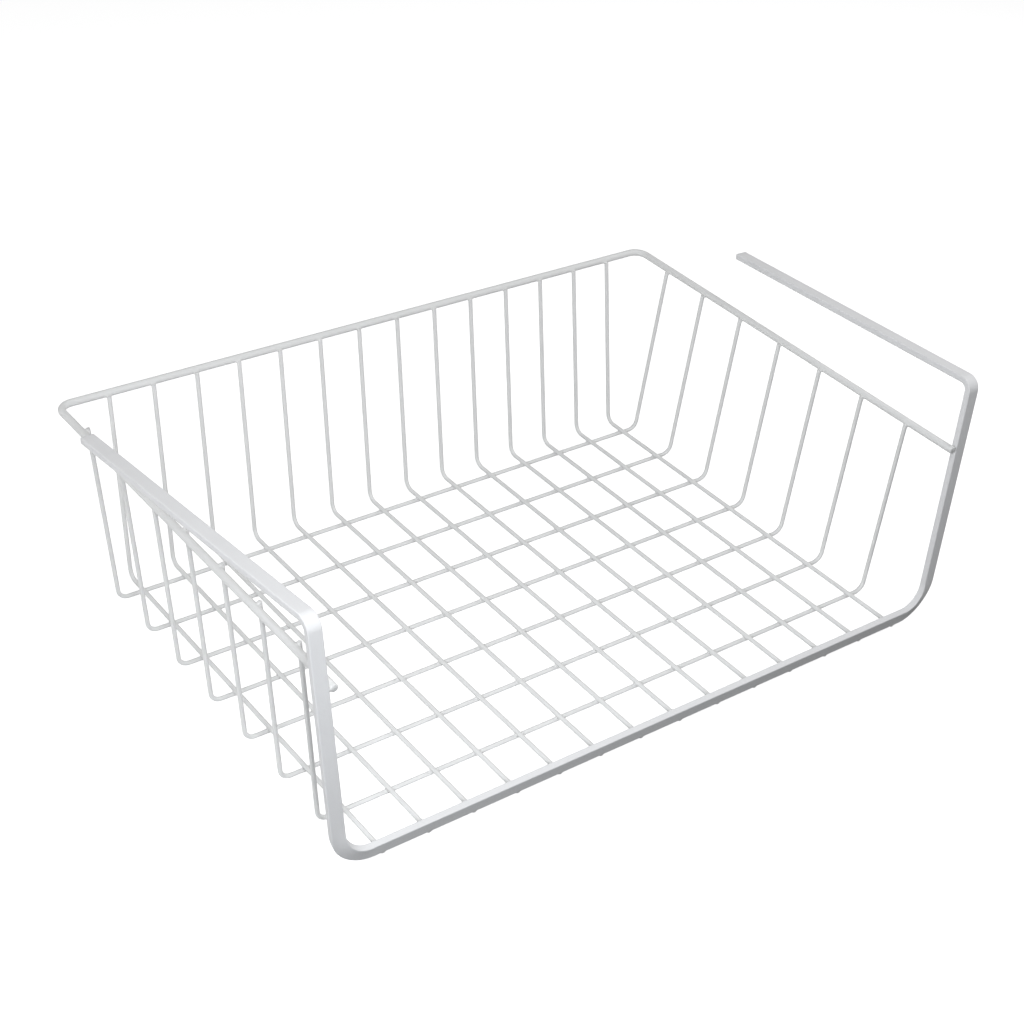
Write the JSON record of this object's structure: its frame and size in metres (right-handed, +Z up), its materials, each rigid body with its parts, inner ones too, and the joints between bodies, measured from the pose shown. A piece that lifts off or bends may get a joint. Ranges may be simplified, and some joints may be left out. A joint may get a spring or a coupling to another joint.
{
  "type": "under shelf basket",
  "caption": "Open-fronted basket of welded coated wire; its flat bar front frame ends in arms that reach back over a shelf board, so the basket hangs below it.",
  "frame": {"origin": "middle of the footprint, on the ground that the floor wires stand on", "axes": "+X to the right along the open front, +Y from the front to the back wall, the way the arms reach, +Z up"},
  "size_m": [0.4192, 0.2709, 0.1435],
  "materials": {
    "frame_coat": "satin white powder coat on flat steel bar",
    "rim_coat": "satin white powder coat on thick round steel wire",
    "cross_wire_coat": "satin white powder coat on thin round steel wire",
    "long_wire_coat": "satin white powder coat on thin round steel wire"
  },
  "bodies": {
    "root": {"front_frame": "frame_coat", "rim_wire": "rim_coat", "cross_wire_1": "cross_wire_coat", "cross_wire_2": "cross_wire_coat", "cross_wire_3": "cross_wire_coat", "cross_wire_4": "cross_wire_coat", "cross_wire_5": "cross_wire_coat", "cross_wire_6": "cross_wire_coat", "cross_wire_7": "cross_wire_coat", "long_wire_01": "long_wire_coat", "long_wire_02": "long_wire_coat", "long_wire_03": "long_wire_coat", "long_wire_04": "long_wire_coat", "long_wire_05": "long_wire_coat", "long_wire_06": "long_wire_coat", "long_wire_07": "long_wire_coat", "long_wire_08": "long_wire_coat", "long_wire_09": "long_wire_coat", "long_wire_10": "long_wire_coat", "long_wire_11": "long_wire_coat", "long_wire_12": "long_wire_coat", "long_wire_13": "long_wire_coat", "long_wire_14": "long_wire_coat"}
  },
  "joints": []
}
